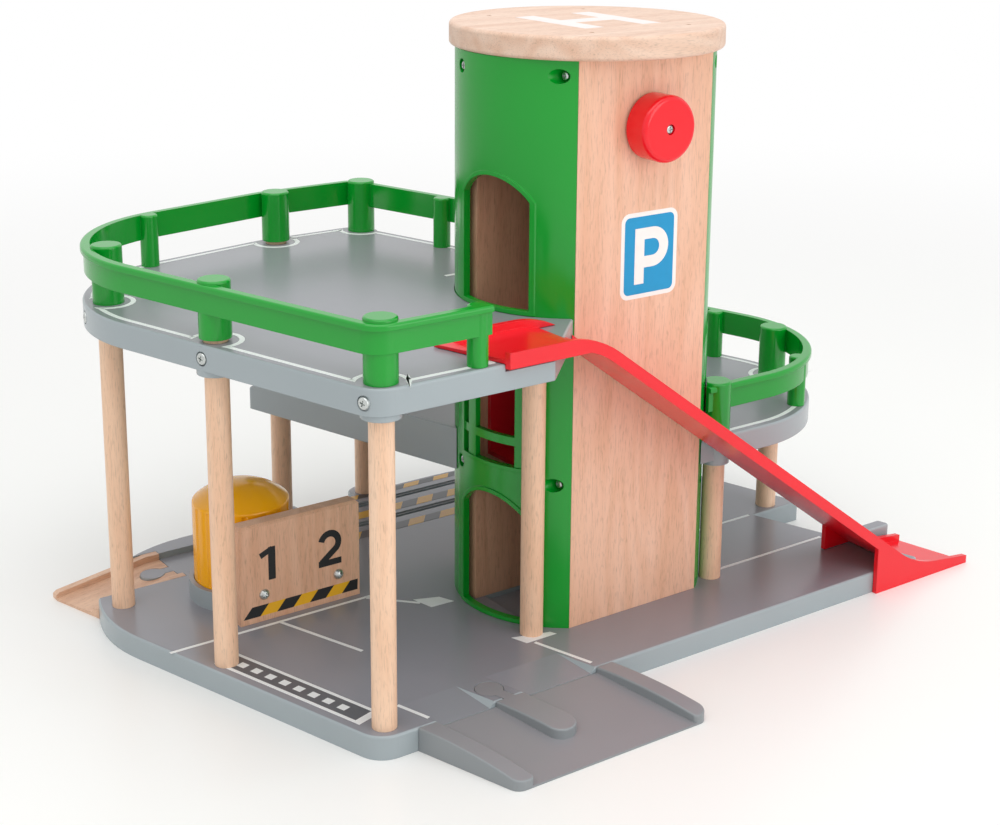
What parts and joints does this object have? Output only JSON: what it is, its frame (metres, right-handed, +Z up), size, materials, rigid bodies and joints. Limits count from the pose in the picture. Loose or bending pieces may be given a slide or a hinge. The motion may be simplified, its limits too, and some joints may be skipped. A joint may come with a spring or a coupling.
{
  "type": "toy parking garage",
  "caption": "Toy parking garage on wooden columns with a hand-cranked lift tower, two railed decks, a slide ramp, a front ramp and a wooden rail track ramp.",
  "frame": {"origin": "tower axis on the surface that the garage stands on", "axes": "+Z up, +Y from the tower's front panel towards the rail track, +X towards the foot of the slide"},
  "size_m": [0.4563, 0.3349, 0.321],
  "materials": {
    "beech": "sanded, clear lacquer",
    "green_plastic": "gloss",
    "red_plastic": "gloss",
    "grey_plastic": "satin",
    "ramp_plastic": "satin",
    "yellow_plastic": "gloss",
    "steel": "zinc plated",
    "white_plastic": "satin",
    "belt_rubber": "matt"
  },
  "bodies": {
    "garage": {"base_board": "grey_plastic", "board_screws": "steel", "column_crank_side": "beech", "column_door": "beech", "column_front": "beech", "column_left": "beech", "column_rear_left": "beech", "column_rear_middle": "beech", "column_right": "beech", "column_west": "beech", "drum": "yellow_plastic", "drum_pin": "beech", "guide_rods": "steel", "idler_pin": "steel", "left_cover": "green_plastic", "left_cover_screws": "steel", "lift_belt": "belt_rubber", "middle_deck": "grey_plastic", "middle_deck_screws": "steel", "middle_railing": "green_plastic", "number_board": "beech", "right_cover": "green_plastic", "right_cover_screws": "steel", "roof_disc": "beech", "roof_nails": "steel", "shaft_bushes": "white_plastic", "shaft_wall": "beech", "tower_foot_screws": "steel", "tower_front_panel": "beech", "tower_rear_panel": "beech", "upper_deck": "grey_plastic", "upper_deck_screws": "steel", "upper_railing": "green_plastic"},
    "lift": {"lift_car": "red_plastic", "lift_carriage": "white_plastic", "carriage_screws": "steel"},
    "crank": {"knob": "red_plastic", "knob_shaft": "steel", "knob_screw": "steel", "drive_pulley": "white_plastic"},
    "idler": {"idler_pulley": "white_plastic"},
    "slide_ramp": {"slide": "red_plastic"},
    "front_ramp_piece": {"front_ramp": "ramp_plastic"},
    "track_ramp_piece": {"track_ramp": "beech"}
  },
  "joints": [
    {"name": "lift_travel", "type": "slide", "parent": "garage", "child": "lift", "axis": [0, 0, 1], "range_m": [-0.084, 0.084]},
    {"name": "knob_turn", "type": "hinge", "parent": "garage", "child": "crank", "pos_m": [0.003, -0.0492, 0.273], "axis": [0, 1, 0], "range_deg": [-540, 540]},
    {"name": "idler_turn", "type": "hinge", "parent": "garage", "child": "idler", "pos_m": [0.003, 0.029, 0.025], "axis": [0, 1, 0], "range_deg": [-540, 540]},
    {"name": "slide_lift_off", "type": "slide", "parent": "garage", "child": "slide_ramp", "axis": [0, 0, 1], "range_m": [0, 0.04]},
    {"name": "front_ramp_lift_off", "type": "slide", "parent": "garage", "child": "front_ramp_piece", "axis": [0, 0, 1], "range_m": [0, 0.04]},
    {"name": "track_ramp_lift_off", "type": "slide", "parent": "garage", "child": "track_ramp_piece", "axis": [0, 0, 1], "range_m": [0, 0.04]}
  ],
  "couplings": [
    {"joint": "knob_turn", "follows": "lift_travel", "rad_per_m": 111.11},
    {"joint": "idler_turn", "follows": "lift_travel", "rad_per_m": 111.11}
  ]
}
